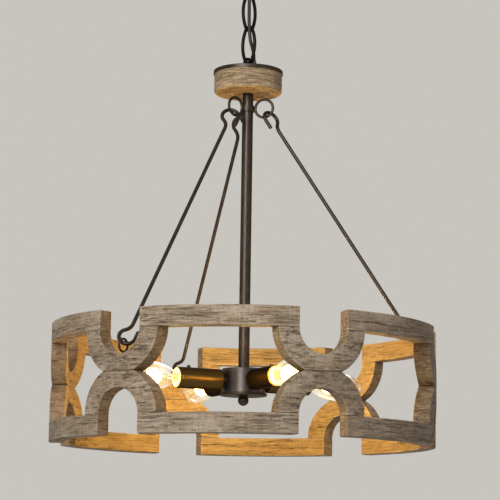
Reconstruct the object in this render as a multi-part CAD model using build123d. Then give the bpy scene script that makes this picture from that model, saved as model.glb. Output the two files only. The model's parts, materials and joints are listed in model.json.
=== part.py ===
from build123d import *
import math
import os

# A ceiling light with an open wooden drum. The origin is at the middle of the ceiling crossbar, on the
# ceiling, and +Z is up. Azimuths are measured from the front (-Y) towards +X. Millimetres and degrees.

# Wooden drum
DRUM_R = 228.6
DRUM_WALL = 18.9
DRUM_HEIGHT = 138.8
X_COUNT = 6
FIRST_X_AZIMUTH = -30.0
RAIL_HEIGHT = 22.5
WAIST_HALF_WIDTH = 21.5
BOW_WIDTH = 23.0
WOOD_EDGE_R = 0.8

# Rods, rings and eyes
ROD_COUNT = 3
ROD_R = 2.2
TOP_HOOK_BOW_R = 10.0
TOP_HOOK_NECK_R = 13.5
TOP_HOOK_TIP = 11.0
FOOT_HOOK_BOW_R = 9.3
FOOT_HOOK_NECK_R = 12.0
FOOT_HOOK_TIP = 9.5
ROD_TURNS = (-124.0, 128.0, 128.0)
ROD_NAMES = ("rod_front_left", "rod_right", "rod_back_left")
COLLAR_TURN = -8.0
RING_R = 11.0
RING_WIRE_R = 1.65
RING_WELD = 0.6
COLLAR_WALL = 1.95
COLLAR_HEIGHT = 7.0
COLLAR_DROP = 18.9
EYE_R = 7.2
EYE_WIRE_R = 1.35
EYE_RISE = 10.5
EYE_SHANK = 11.0
HOOK_PLAY_AT_RING = 0.6
HOOK_PLAY_AT_EYE = 0.9

# Stem and its threaded nipples
STEM_R = 6.6
STEM_LENGTH = 335.9
NIPPLE_R = 4.8
NIPPLE_BORE_R = 3.2
NIPPLE_ENGAGEMENT = 14.0
LOCK_NUT_FLATS = 14.0
LOCK_NUT_HEIGHT = 4.5
WASHER_R = 11.0
WASHER_THICK = 1.5
NIPPLE_STAND = 1.4

# Wooden hub and its metal cap
HUB_R = 41.2
HUB_HEIGHT = 26.6
HUB_EDGE_R = 3.5
HUB_HOLLOW_R = 28.0
HUB_HOLLOW_DEPTH = 16.0
CAP_SHEET = 1.5
CAP_SKIRT = 4.5
CAP_OVERHANG = 1.0
CAP_SCREW_COUNT = 3
CAP_SCREW_CIRCLE_R = 34.5
CAP_SCREW_HEAD_R = 3.0
CAP_SCREW_HEAD_HEIGHT = 1.8
CAP_SCREW_R = 1.6
CAP_SCREW_LENGTH = 14.0
CAP_SCREW_FIRST = 20.0
TERMINAL_LENGTH = 30.0
TERMINAL_WIDTH = 11.0
TERMINAL_HEIGHT = 6.0

# Chain and loops
CHAIN_TURN = 7.3
LINK_TURN = 45.0
LINK_HALF_LENGTH = 22.45
LINK_HALF_WIDTH = 10.35
LINK_END_R = 6.5
LINK_WIRE_R = 2.05
LOOP_WIRE_R = 2.0
LINK_PLAY = 0.4
HUB_LOOP_R = 6.5
HUB_LOOP_RISE = 15.5
CANOPY_LOOP_R = 7.0
CANOPY_LOOP_DROP = 22.0

# Ceiling fitting
CROSSBAR_LENGTH = 104.0
CROSSBAR_WIDTH = 20.0
CROSSBAR_THICK = 2.0
SLOT_SPACING = 88.9
SLOT_LENGTH = 12.0
SLOT_R = 2.4
CANOPY_R = 60.0
CANOPY_HEIGHT = 26.0
CANOPY_WALL = 1.2
CANOPY_RIM = 3.0
CANOPY_FLAT_R = 22.0
NECK_R = 12.8
NECK_TOP = 12.0
NECK_LENGTH = 22.0
NECK_ENGAGEMENT = 8.0
RING_NUT_R = 18.0
RING_NUT_HEIGHT = 5.5
RING_NUT_EDGE = 1.0

# Supply cord: its play beside the wires, and the heights where its route turns
CORD_R = 2.1
CORD_PLAY = 0.4
CORD_TOP_DROP = 0.5
CORD_NECK_DROP = 1.0
CORD_RISE_OVER_CANOPY_BAR = 9.5
CORD_CROSSING_HALF = 10.0
CORD_DROP_UNDER_HUB_BAR = 1.1
CORD_RISE_OVER_CAP = 3.4
CORD_BEND_RATIO = 0.45
BUSHING_OFFSET = 10.0
BUSHING_R = 3.2
BUSHING_FLANGE_R = 3.9
BUSHING_FLANGE_THICK = 1.4
BUSHING_LENGTH = 2.6

# Socket cluster
CLUSTER_TURN = 34.0
SOCKET_COUNT = 4
CLUSTER_R = 26.0
CLUSTER_HEIGHT = 29.0
CLUSTER_WALL = 1.5
CLUSTER_EDGE_R = 1.2
BASE_PLATE_R = 28.2
BASE_PLATE_THICK = 3.2
BASE_PLATE_EDGE_R = 0.8
TUBE_R = 12.5
TUBE_WALL = 1.3
TUBE_GAP = 4.0
TUBE_EDGE_R = 2.5
TUBE_END = 87.0
TUBE_NECK_R = 6.0
TUBE_NECK_BORE_R = 3.6
TUBE_NECK_INSET = 1.0
SOCKET_LENGTH = 36.0
SOCKET_PROUD = 1.0
SOCKET_BORE_DEPTH = 23.0
SOCKET_SCREW_SETBACK = 15.0
SOCKET_SCREW_HEAD_R = 2.0
SOCKET_SCREW_HEAD_HEIGHT = 1.8
SOCKET_SCREW_R = 1.3
SOCKET_SCREW_BITE = 2.0
STRAP_WIDTH = 10.0
STRAP_THICK = 3.0
STRAP_RISE = 2.5
CONNECTOR_WIDTH = 14.0
CONNECTOR_HEIGHT = 13.0
LEAD_R = 1.2
FINIAL_R = 6.4
FINIAL_DROP = 5.2
FINIAL_NECK_R = 5.2
STUD_R = 2.0
STUD_PAST_STRAP = 1.0
DRUM_MIDDLE_BELOW_CLUSTER_TOP = 21.5

# Candle bulbs
BULB_BASE_R = 5.85
BULB_BASE_LENGTH = 18.0
BULB_CONTACT_R = 2.6
BULB_CONTACT_LENGTH = 2.6
BULB_R = 17.5
BULB_GLASS_LENGTH = 74.0
BULB_WIDEST_RATIO = 0.53
BULB_GLASS_WALL = 0.8
FLANK_NECK_RATIOS = (0.33, 0.78)
FLANK_BELLY_RATIO = 0.62
CROWN_BELLY_RATIO = 0.6
CROWN_TIP_RATIO = 0.24

# Clearances
FIT = 0.05
RUN = 0.3

# Heights, from the ceiling down
NECK_BOTTOM_Z = -(NECK_TOP + NECK_LENGTH)
CANOPY_BAR_Z = NECK_BOTTOM_Z - CANOPY_LOOP_DROP
LOOP_STEP = LOOP_WIRE_R + LINK_WIRE_R + LINK_PLAY
LINK_STEP = 2 * LINK_WIRE_R + LINK_PLAY
UPPER_LINK_Z = CANOPY_BAR_Z + LOOP_STEP - LINK_HALF_LENGTH
LOWER_LINK_Z = UPPER_LINK_Z - LINK_HALF_LENGTH + LINK_STEP - LINK_HALF_LENGTH
HUB_BAR_Z = LOWER_LINK_Z - LINK_HALF_LENGTH + LOOP_STEP
CAP_TOP_Z = HUB_BAR_Z - HUB_LOOP_RISE
HUB_TOP_Z = CAP_TOP_Z - CAP_SHEET
HUB_BOTTOM_Z = HUB_TOP_Z - HUB_HEIGHT
HUB_FLOOR_Z = HUB_TOP_Z - HUB_HOLLOW_DEPTH
HUB_NUT_Z = HUB_FLOOR_Z + WASHER_THICK
HUB_NIPPLE_TOP_Z = HUB_NUT_Z + LOCK_NUT_HEIGHT + NIPPLE_STAND
TERMINAL_TOP_Z = HUB_NIPPLE_TOP_Z + TERMINAL_HEIGHT
COLLAR_Z = HUB_BOTTOM_Z - COLLAR_DROP
CLUSTER_TOP_Z = HUB_BOTTOM_Z - STEM_LENGTH
CLUSTER_BOTTOM_Z = CLUSTER_TOP_Z - CLUSTER_HEIGHT
SOCKET_Z = CLUSTER_BOTTOM_Z + CLUSTER_HEIGHT / 2
CLUSTER_NUT_Z = CLUSTER_TOP_Z - CLUSTER_WALL - LOCK_NUT_HEIGHT
CLUSTER_NIPPLE_BOTTOM_Z = CLUSTER_NUT_Z - NIPPLE_STAND
STRAP_Z = CLUSTER_BOTTOM_Z + STRAP_RISE
STUD_TOP_Z = STRAP_Z + STRAP_THICK + STUD_PAST_STRAP
CONNECTOR_TOP_Z = STUD_TOP_Z + CONNECTOR_HEIGHT
DRUM_Z = CLUSTER_TOP_Z - DRUM_MIDDLE_BELOW_CLUSTER_TOP
BOW_CENTRE_RISE = DRUM_HEIGHT / 2 - RAIL_HEIGHT
BOW_R = math.hypot(BOW_CENTRE_RISE, WAIST_HALF_WIDTH)
NOTCH_R = BOW_R - BOW_WIDTH

# Radii and directions that follow from the sizes above
DRUM_INNER_R = DRUM_R - DRUM_WALL
DRUM_MID_R = DRUM_R - DRUM_WALL / 2
X_STEP = 360.0 / X_COUNT
ROD_STEP = 360.0 / ROD_COUNT
COLLAR_R = STEM_R + FIT + COLLAR_WALL
RING_CENTRE_R = COLLAR_R + RING_R + RING_WIRE_R - RING_WELD
CAP_R = HUB_R + CAP_OVERHANG
CORD_STEP = LINK_WIRE_R + CORD_R + CORD_PLAY
ALONG_LOWER_LINK = CHAIN_TURN + LINK_TURN
ALONG_UPPER_LINK = CHAIN_TURN - LINK_TURN
TUBE_INNER_R = TUBE_R - TUBE_WALL
TUBE_START = CLUSTER_R + TUBE_GAP
CLUSTER_INNER_R = CLUSTER_R - CLUSTER_WALL
TUBE_NECK_START = CLUSTER_INNER_R - TUBE_NECK_INSET
SOCKET_R = TUBE_INNER_R - FIT
SOCKET_FRONT = TUBE_END + SOCKET_PROUD
SOCKET_BACK = SOCKET_FRONT - SOCKET_LENGTH
SOCKET_STEP = 360.0 / SOCKET_COUNT


def outward(azimuth):
    """Unit vector away from the stem at an azimuth from the front."""
    angle = math.radians(azimuth)
    return Vector(math.sin(angle), -math.cos(angle), 0)


def cylinder(radius, bottom, height):
    """Upright cylinder on the stem's axis."""
    return Pos(0, 0, bottom + height / 2) * Cylinder(radius, height)


def tube(radius, bore_r, bottom, height):
    """Upright tube on the stem's axis."""
    return cylinder(radius, bottom, height) - cylinder(bore_r, bottom, height)


def rod_along(start, end, radius):
    """Round bar from one point to another."""
    direction = end - start
    return extrude(Plane(start, z_dir=direction) * Circle(radius), direction.length)


def swept(path, radius):
    """Round wire along a path."""
    start = Plane(path @ 0, z_dir=path % 0)
    return sweep(start * Circle(radius), path=path)


def hexagon_nut(flats, bore_r, bottom, height):
    """Hexagon nut on the stem's axis."""
    prism = extrude(RegularPolygon(flats / 2, 6, major_radius=False), height)
    return Pos(0, 0, bottom) * (prism - cylinder(bore_r, 0, height))


def chain_plane(azimuth, height):
    """Upright plane through the stem's axis, with its x along the azimuth and its y up."""
    along = outward(azimuth)
    return Plane((0, 0, height), x_dir=along, z_dir=along.cross(Vector(0, 0, 1)))


# Wooden drum
def bow(azimuth, upper):
    """U-shaped panel half: a ring cut off flat at the waist and at the rail."""
    profile = Circle(BOW_R) - Circle(NOTCH_R)
    window = Pos(0, -BOW_CENTRE_RISE / 2) * Rectangle(2 * BOW_R, BOW_CENTRE_RISE)
    front = Plane((0, 0, BOW_CENTRE_RISE), x_dir=(1, 0, 0), z_dir=(0, -1, 0))
    block = extrude(front * (profile & window), DRUM_R + DRUM_WALL)
    panel = block & tube(DRUM_R, DRUM_INNER_R, -DRUM_HEIGHT / 2, DRUM_HEIGHT)
    panel = fillet(panel.edges(), WOOD_EDGE_R)
    if not upper:
        panel = mirror(panel, Plane.XY)
    return Pos(0, 0, DRUM_Z) * (Rot(0, 0, azimuth) * panel)


def rail(azimuth, upper):
    """Curved rail from the notch at an azimuth to the next notch."""
    bottom = BOW_CENTRE_RISE if upper else -DRUM_HEIGHT / 2
    section = Plane.XZ * (Pos(DRUM_MID_R, bottom + RAIL_HEIGHT / 2) * Rectangle(DRUM_WALL, RAIL_HEIGHT))
    segment = Rot(0, 0, azimuth - 90) * revolve(section, Axis.Z, X_STEP)
    for side in (azimuth, azimuth + X_STEP):
        notch = Pos(0, -DRUM_MID_R, 0) * Box(2 * NOTCH_R, 4 * DRUM_WALL, 2 * DRUM_HEIGHT)
        segment -= Rot(0, 0, side) * notch
    segment = fillet(segment.edges(), WOOD_EDGE_R)
    return Pos(0, 0, DRUM_Z) * segment


def eye_centre(azimuth):
    """Middle of the screw eye in the notch at an azimuth."""
    notch_bottom = DRUM_Z + BOW_CENTRE_RISE - NOTCH_R
    return outward(azimuth) * DRUM_MID_R + Vector(0, 0, notch_bottom + EYE_RISE)


def eye_shank(azimuth, radius):
    """Shank of a screw eye, from its ring down into the wood."""
    top = eye_centre(azimuth) - Vector(0, 0, EYE_R)
    foot = top - Vector(0, 0, EYE_RISE - EYE_R + EYE_SHANK)
    return rod_along(top, foot, radius)


def screw_eye(azimuth):
    """Closed screw eye in a radial plane."""
    plane = chain_plane(azimuth, 0)
    ring = Plane(eye_centre(azimuth), x_dir=plane.x_dir, z_dir=plane.z_dir) * Torus(EYE_R, EYE_WIRE_R)
    return ring + eye_shank(azimuth, EYE_WIRE_R)


# Rods and the collar that they hang on
def ring_plane(azimuth):
    """Upright plane of the collar's ring for the rod at an azimuth, from the ring's middle."""
    radial = chain_plane(azimuth + COLLAR_TURN, COLLAR_Z)
    return Plane(radial.origin + radial.x_dir * RING_CENTRE_R, x_dir=radial.x_dir, z_dir=radial.z_dir)


def ring_collar():
    """Collar round the stem, with a ring welded on for each rod."""
    collar = tube(COLLAR_R, STEM_R + FIT, COLLAR_Z - COLLAR_HEIGHT / 2, COLLAR_HEIGHT)
    for number in range(ROD_COUNT):
        collar += ring_plane(FIRST_X_AZIMUTH + number * ROD_STEP) * Torus(RING_R, RING_WIRE_R)
    return collar


def hang_point(azimuth):
    """Middle of the ring's wire where the rod at an azimuth hangs."""
    ring = ring_plane(azimuth)
    reach = eye_centre(azimuth) - ring.origin
    reach -= ring.z_dir * reach.dot(ring.z_dir)
    return ring.origin + reach.normalized() * RING_R


def hook_bend(bow_r, neck_r):
    """Angle that a hook's neck turns through, and its length along the rod."""
    return math.degrees(math.acos(neck_r / (bow_r + neck_r))), math.sqrt(bow_r**2 + 2 * bow_r * neck_r)


def hooked_rod(azimuth, turn):
    """Wire rod with an S-shaped hook at each end, from a ring of the collar to a screw eye."""
    start = hang_point(azimuth)
    along = eye_centre(azimuth) - start
    tangent = Vector(0, 0, 1).cross(along)
    bulge = tangent.cross(along).normalized().rotate(Axis((0, 0, 0), along), turn)
    plane = Plane(start, x_dir=along, z_dir=along.cross(bulge))
    top_bend, top_length = hook_bend(TOP_HOOK_BOW_R, TOP_HOOK_NECK_R)
    foot_bend, foot_length = hook_bend(FOOT_HOOK_BOW_R, FOOT_HOOK_NECK_R)
    top = TOP_HOOK_BOW_R - RING_WIRE_R - ROD_R - HOOK_PLAY_AT_RING
    foot = along.length - EYE_R + EYE_WIRE_R + ROD_R + HOOK_PLAY_AT_EYE - FOOT_HOOK_BOW_R
    top_tip = Line((top + TOP_HOOK_TIP, -TOP_HOOK_BOW_R), (top, -TOP_HOOK_BOW_R))
    top_bow = JernArc(top_tip @ 1, top_tip % 1, TOP_HOOK_BOW_R, -(180 + top_bend))
    top_neck = JernArc(top_bow @ 1, top_bow % 1, TOP_HOOK_NECK_R, top_bend)
    shaft = Line((top + top_length, 0), (foot - foot_length, 0))
    foot_neck = JernArc(shaft @ 1, shaft % 1, FOOT_HOOK_NECK_R, foot_bend)
    foot_bow = JernArc(foot_neck @ 1, foot_neck % 1, FOOT_HOOK_BOW_R, -(180 + foot_bend))
    foot_tip = Line((foot, -FOOT_HOOK_BOW_R), (foot - FOOT_HOOK_TIP, -FOOT_HOOK_BOW_R))
    path = Wire([top_tip, top_bow, top_neck, shaft, foot_neck, foot_bow, foot_tip])
    return swept(plane * path, ROD_R)


# Stem, nipples and their nuts
def stem_tube():
    """Tube from the hub's underside to the cluster's top."""
    return tube(STEM_R, NIPPLE_R + FIT, CLUSTER_TOP_Z, STEM_LENGTH)


def stem_nipples():
    """Threaded nipples that join the stem to the hub and to the cluster."""
    hub_bottom = HUB_BOTTOM_Z - NIPPLE_ENGAGEMENT
    cluster_top = CLUSTER_TOP_Z + NIPPLE_ENGAGEMENT
    upper = tube(NIPPLE_R, NIPPLE_BORE_R, hub_bottom, HUB_NIPPLE_TOP_Z - hub_bottom)
    lower = tube(NIPPLE_R, NIPPLE_BORE_R, CLUSTER_NIPPLE_BOTTOM_Z, cluster_top - CLUSTER_NIPPLE_BOTTOM_Z)
    return [upper, lower]


def stem_lock_nuts():
    """Washer and nut in the hub's hollow, and the nut under the cluster's top."""
    washer = tube(WASHER_R, NIPPLE_R + FIT, HUB_FLOOR_Z, WASHER_THICK)
    hub_nut = hexagon_nut(LOCK_NUT_FLATS, NIPPLE_R + FIT, HUB_NUT_Z, LOCK_NUT_HEIGHT)
    cluster_nut = hexagon_nut(LOCK_NUT_FLATS, NIPPLE_R + FIT, CLUSTER_NUT_Z, LOCK_NUT_HEIGHT)
    return [washer, hub_nut, cluster_nut]


# Wooden hub, its cap and the loop on it
def cap_screw_places():
    """Azimuths of the wood screws in the cap."""
    return [CAP_SCREW_FIRST + number * 360.0 / CAP_SCREW_COUNT for number in range(CAP_SCREW_COUNT)]


def cap_screw_hole(azimuth, radius):
    """Straight hole or shank of a cap screw."""
    centre = outward(azimuth) * CAP_SCREW_CIRCLE_R
    return Pos(centre.X, centre.Y, 0) * cylinder(radius, CAP_TOP_Z - CAP_SCREW_LENGTH, CAP_SCREW_LENGTH)


def hub_block():
    """Wooden block with a hollow for the nut and the terminals."""
    block = cylinder(HUB_R, HUB_BOTTOM_Z, HUB_HEIGHT)
    block = fillet(block.edges().sort_by(Axis.Z)[0], HUB_EDGE_R)
    block -= cylinder(HUB_HOLLOW_R, HUB_FLOOR_Z, HUB_HOLLOW_DEPTH)
    block -= cylinder(NIPPLE_R + FIT, HUB_BOTTOM_Z, HUB_HEIGHT)
    for azimuth in cap_screw_places():
        block -= cap_screw_hole(azimuth, CAP_SCREW_R + FIT)
    return block


def bushing_place():
    """Point on the axis of the cord's bushing, at height zero."""
    return outward(ALONG_LOWER_LINK + LINK_TURN) * BUSHING_OFFSET


def cap_plate():
    """Dished metal cap with a skirt round the top of the wooden block."""
    cap = cylinder(CAP_R, CAP_TOP_Z - CAP_SKIRT, CAP_SKIRT)
    cap = fillet(cap.edges().sort_by(Axis.Z)[-1], CAP_SHEET / 2)
    cap -= cylinder(HUB_R + FIT, CAP_TOP_Z - CAP_SKIRT, CAP_SKIRT - CAP_SHEET)
    place = bushing_place()
    cap -= Pos(place.X, place.Y, 0) * cylinder(BUSHING_R + FIT, HUB_TOP_Z, CAP_SHEET)
    for azimuth in cap_screw_places():
        cap -= cap_screw_hole(azimuth, CAP_SCREW_R + FIT)
    return cap


def cap_screws():
    """Round-headed wood screws through the cap into the block."""
    screws = []
    for azimuth in cap_screw_places():
        centre = outward(azimuth) * CAP_SCREW_CIRCLE_R
        head = cylinder(CAP_SCREW_HEAD_R, CAP_TOP_Z, CAP_SCREW_HEAD_HEIGHT)
        head = fillet(head.edges().sort_by(Axis.Z)[-1], CAP_SCREW_HEAD_HEIGHT / 2)
        shank = cap_screw_hole(azimuth, CAP_SCREW_R)
        screws.append(Pos(centre.X, centre.Y, 0) * head + shank)
    return screws


def staple(radius, foot, bar, azimuth):
    """Wire loop with two straight legs, from their feet to the middle of its bent bar."""
    turn = 1 if bar > foot else -1
    bend = bar - turn * radius
    legs = Line((-radius, foot), (-radius, bend))
    bow_arc = JernArc(legs @ 1, legs % 1, radius, -180 * turn)
    back = Line((radius, bend), (radius, foot))
    return swept(chain_plane(azimuth, 0) * Wire([legs, bow_arc, back]), LOOP_WIRE_R)


def hub_loop():
    """Loop welded to the cap, for the chain."""
    return staple(HUB_LOOP_R, CAP_TOP_Z, HUB_BAR_Z, ALONG_UPPER_LINK)


def chain_link(azimuth, height):
    """Oval chain link of four tangent arcs."""
    reach = LINK_HALF_LENGTH - LINK_END_R
    side_r = (LINK_HALF_WIDTH**2 + reach**2 - LINK_END_R**2) / (2 * (LINK_HALF_WIDTH - LINK_END_R))
    half_side = math.degrees(math.asin(reach / (side_r - LINK_END_R)))
    first_side = JernArc((LINK_HALF_WIDTH, 0), (0, 1), side_r, half_side)
    top = JernArc(first_side @ 1, first_side % 1, LINK_END_R, 180 - 2 * half_side)
    second_side = JernArc(top @ 1, top % 1, side_r, 2 * half_side)
    bottom = JernArc(second_side @ 1, second_side % 1, LINK_END_R, 180 - 2 * half_side)
    last_side = JernArc(bottom @ 1, bottom % 1, side_r, half_side)
    path = Wire([first_side, top, second_side, bottom, last_side])
    return swept(chain_plane(azimuth, height) * path, LINK_WIRE_R)


# Supply cord
def cord_point(across_upper, along_upper, height):
    """Point of the cord, measured across and along the upper link from the stem's axis."""
    side = outward(ALONG_LOWER_LINK) * across_upper + outward(ALONG_UPPER_LINK) * along_upper
    return side + Vector(0, 0, height)


def supply_cord():
    """Cord from the ceiling nipple down beside the chain to the terminal block in the hub."""
    bushing_step = BUSHING_OFFSET / math.sqrt(2)
    points = [
        cord_point(0, 0, -CORD_TOP_DROP),
        cord_point(0, 0, NECK_BOTTOM_Z - CORD_NECK_DROP),
        cord_point(CORD_STEP, CORD_STEP, CANOPY_BAR_Z + CORD_RISE_OVER_CANOPY_BAR),
        cord_point(CORD_STEP, CORD_STEP, LOWER_LINK_Z + CORD_CROSSING_HALF),
        cord_point(CORD_STEP, -CORD_STEP, LOWER_LINK_Z - CORD_CROSSING_HALF),
        cord_point(CORD_STEP, -CORD_STEP, HUB_BAR_Z - CORD_DROP_UNDER_HUB_BAR),
        cord_point(bushing_step, -bushing_step, CAP_TOP_Z + CORD_RISE_OVER_CAP),
        cord_point(bushing_step, -bushing_step, TERMINAL_TOP_Z),
    ]
    runs = [second - first for first, second in zip(points, points[1:])]
    radii = []
    for before, after in zip(runs, runs[1:]):
        half_turn = math.radians(before.get_angle(after)) / 2
        radii.append(CORD_BEND_RATIO * min(before.length, after.length) / math.tan(half_turn))
    path = FilletPolyline(*points, radius=radii)
    print("cord length", round(path.length, 1))
    return swept(path, CORD_R)


def cord_bushing():
    """Flanged bushing where the cord goes through the cap."""
    place = bushing_place()
    flange = cylinder(BUSHING_FLANGE_R, CAP_TOP_Z, BUSHING_FLANGE_THICK)
    barrel = cylinder(BUSHING_R, CAP_TOP_Z - BUSHING_LENGTH, BUSHING_LENGTH)
    bore = cylinder(CORD_R + RUN, CAP_TOP_Z - BUSHING_LENGTH, BUSHING_LENGTH + BUSHING_FLANGE_THICK)
    return Pos(place.X, place.Y, 0) * (flange + barrel - bore)


def wire_connectors():
    """Terminal block in the hub and connector in the cluster."""
    block = Pos(0, 0, TERMINAL_TOP_Z - TERMINAL_HEIGHT / 2) * (
        Rot(0, 0, CHAIN_TURN) * Box(TERMINAL_LENGTH, TERMINAL_WIDTH, TERMINAL_HEIGHT)
    )
    connector = Pos(0, 0, CONNECTOR_TOP_Z - CONNECTOR_HEIGHT / 2) * (
        Rot(0, 0, CLUSTER_TURN) * Box(CONNECTOR_WIDTH, CONNECTOR_WIDTH, CONNECTOR_HEIGHT)
    )
    return [block, connector]


def stem_cord():
    """Cord from the terminal block down the stem to the cluster's connector."""
    return cylinder(CORD_R, CONNECTOR_TOP_Z, HUB_NIPPLE_TOP_Z - CONNECTOR_TOP_Z)


# Socket cluster
def socket_azimuths():
    """Azimuths of the sockets."""
    return [CLUSTER_TURN + number * SOCKET_STEP for number in range(SOCKET_COUNT)]


def on_socket(azimuth, reach):
    """Point on a socket's axis, at a reach from the stem's axis."""
    return outward(azimuth) * reach + Vector(0, 0, SOCKET_Z)


def socket_bar(azimuth, start, end, radius):
    """Round bar along a socket's axis."""
    return rod_along(on_socket(azimuth, start), on_socket(azimuth, end), radius)


def cluster_body():
    """Round cup, open below, with a hole for the neck of each socket tube."""
    body = cylinder(CLUSTER_R, CLUSTER_BOTTOM_Z, CLUSTER_HEIGHT)
    body = fillet(body.edges().sort_by(Axis.Z)[-1], CLUSTER_EDGE_R)
    body -= cylinder(CLUSTER_INNER_R, CLUSTER_BOTTOM_Z, CLUSTER_HEIGHT - CLUSTER_WALL)
    body -= cylinder(NIPPLE_R + FIT, CLUSTER_BOTTOM_Z, CLUSTER_HEIGHT)
    for azimuth in socket_azimuths():
        body -= socket_bar(azimuth, 0, TUBE_START, TUBE_NECK_R + FIT)
    return body


def base_plate():
    """Round plate that closes the cluster from below."""
    plate = cylinder(BASE_PLATE_R, CLUSTER_BOTTOM_Z - BASE_PLATE_THICK, BASE_PLATE_THICK)
    plate = fillet(plate.edges(), BASE_PLATE_EDGE_R)
    return plate - cylinder(STUD_R + FIT, CLUSTER_BOTTOM_Z - BASE_PLATE_THICK, BASE_PLATE_THICK)


def cluster_strap():
    """Strap across the cluster, between the tubes, that takes the finial's stud."""
    strap = Rot(0, 0, CLUSTER_TURN + SOCKET_STEP / 2) * Box(2 * CLUSTER_R, STRAP_WIDTH, STRAP_THICK)
    strap = Pos(0, 0, STRAP_Z + STRAP_THICK / 2) * strap
    strap &= cylinder(CLUSTER_INNER_R - FIT, STRAP_Z, STRAP_THICK)
    return strap - cylinder(STUD_R + FIT, STRAP_Z, STRAP_THICK)


def finial():
    """Ball under the base plate, with its neck and its threaded stud."""
    plate_bottom = CLUSTER_BOTTOM_Z - BASE_PLATE_THICK
    ball = Pos(0, 0, plate_bottom - FINIAL_DROP) * Sphere(FINIAL_R)
    ball -= cylinder(BASE_PLATE_R, plate_bottom, FINIAL_R)
    neck = cylinder(FINIAL_NECK_R, plate_bottom - FINIAL_DROP, FINIAL_DROP)
    stud = cylinder(STUD_R, plate_bottom, STUD_TOP_Z - plate_bottom)
    return ball + neck + stud


def socket_screw_shank(azimuth, radius):
    """Shank of the set screw on a socket tube."""
    place = on_socket(azimuth, TUBE_END - SOCKET_SCREW_SETBACK)
    return rod_along(place + Vector(0, 0, SOCKET_R - SOCKET_SCREW_BITE), place + Vector(0, 0, TUBE_R), radius)


def socket_tubes():
    """Metal cups with their backs on short necks that stand out of the cluster."""
    tubes = []
    for azimuth in socket_azimuths():
        shell = socket_bar(azimuth, TUBE_START, TUBE_END, TUBE_R)
        back = shell.edges().sort_by(Axis((0, 0, SOCKET_Z), outward(azimuth)))[0]
        shell = fillet(back, TUBE_EDGE_R)
        floor = TUBE_START + TUBE_WALL
        shell -= socket_bar(azimuth, floor, TUBE_END, TUBE_INNER_R)
        shell += socket_bar(azimuth, TUBE_NECK_START, floor, TUBE_NECK_R)
        shell -= socket_bar(azimuth, TUBE_NECK_START, floor, TUBE_NECK_BORE_R)
        tubes.append(shell - socket_screw_shank(azimuth, SOCKET_SCREW_R + FIT))
    return tubes


def sockets():
    """Candle sockets, each in its tube."""
    shells = []
    for azimuth in socket_azimuths():
        shell = socket_bar(azimuth, SOCKET_BACK, SOCKET_FRONT, SOCKET_R)
        bore_r = BULB_BASE_R + RUN
        shell -= socket_bar(azimuth, SOCKET_FRONT - SOCKET_BORE_DEPTH, SOCKET_FRONT, bore_r)
        shells.append(shell - socket_screw_shank(azimuth, SOCKET_SCREW_R + FIT))
    return shells


def socket_screws():
    """Set screws that hold the sockets in their tubes."""
    screws = []
    for azimuth in socket_azimuths():
        seat = on_socket(azimuth, TUBE_END - SOCKET_SCREW_SETBACK) + Vector(0, 0, TUBE_R)
        head = rod_along(seat, seat + Vector(0, 0, SOCKET_SCREW_HEAD_HEIGHT), SOCKET_SCREW_HEAD_R)
        screws.append(head + socket_screw_shank(azimuth, SOCKET_SCREW_R))
    return screws


def socket_leads():
    """Leads from the connector to the backs of the sockets."""
    drop = Vector(0, 0, (STUD_TOP_Z + CONNECTOR_TOP_Z) / 2 - SOCKET_Z)
    leads = []
    for azimuth in socket_azimuths():
        start = on_socket(azimuth, CONNECTOR_WIDTH / 2) + drop
        leads.append(rod_along(start, on_socket(azimuth, SOCKET_BACK) + drop, LEAD_R))
    return leads


# Bulbs
def bulb_profile(wall):
    """Half outline of the glass, inset by a wall: x along the bulb from its base, y its radius."""
    widest = BULB_GLASS_LENGTH * BULB_WIDEST_RATIO
    belly_r = BULB_R - wall
    length = BULB_GLASS_LENGTH - wall
    neck = (0, BULB_BASE_R - wall)
    belly = (widest, belly_r)
    tip = (length, 0)
    neck_pull = (widest * FLANK_NECK_RATIOS[0], belly_r * FLANK_NECK_RATIOS[1])
    flank = Bezier(neck, neck_pull, (widest * FLANK_BELLY_RATIO, belly_r), belly)
    crown_pull = (widest + (length - widest) * CROWN_BELLY_RATIO, belly_r)
    crown = Bezier(belly, crown_pull, (length, belly_r * CROWN_TIP_RATIO), tip)
    return make_face([flank, crown, Line(tip, (0, 0)), Line((0, 0), neck)])


def bulb(azimuth):
    """Candle bulb: hollow glass on a screw base with its contact."""
    glass_start = SOCKET_FRONT
    base_start = glass_start - BULB_BASE_LENGTH
    contact_start = base_start - BULB_CONTACT_LENGTH
    axis_plane = Plane(on_socket(azimuth, glass_start), x_dir=outward(azimuth), z_dir=(0, 0, 1))
    outer = revolve(bulb_profile(0), Axis.X)
    inner = revolve(bulb_profile(BULB_GLASS_WALL), Axis.X)
    glass = axis_plane * (outer - inner)
    base = socket_bar(azimuth, base_start, glass_start, BULB_BASE_R)
    base += socket_bar(azimuth, contact_start, base_start, BULB_CONTACT_R)
    return [glass, base]


# Ceiling fitting
def crossbar():
    """Flat bar with a slot at each end for the box screws and a hole for the nipple."""
    bar = Pos(0, 0, -CROSSBAR_THICK / 2) * Box(CROSSBAR_LENGTH, CROSSBAR_WIDTH, CROSSBAR_THICK)
    bar = fillet(bar.edges().filter_by(Axis.Z), CROSSBAR_WIDTH / 4)
    for side in (-1, 1):
        slot = extrude(SlotOverall(SLOT_LENGTH, 2 * SLOT_R), -CROSSBAR_THICK)
        bar -= Pos(side * SLOT_SPACING / 2, 0, 0) * slot
    return bar - cylinder(NIPPLE_R + FIT, -CROSSBAR_THICK, CROSSBAR_THICK)


def ceiling_nipple():
    """Threaded nipple from the crossbar to the neck of the canopy loop."""
    bottom = -NECK_TOP - NECK_ENGAGEMENT
    return tube(NIPPLE_R, NIPPLE_BORE_R, bottom, -bottom)


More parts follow.
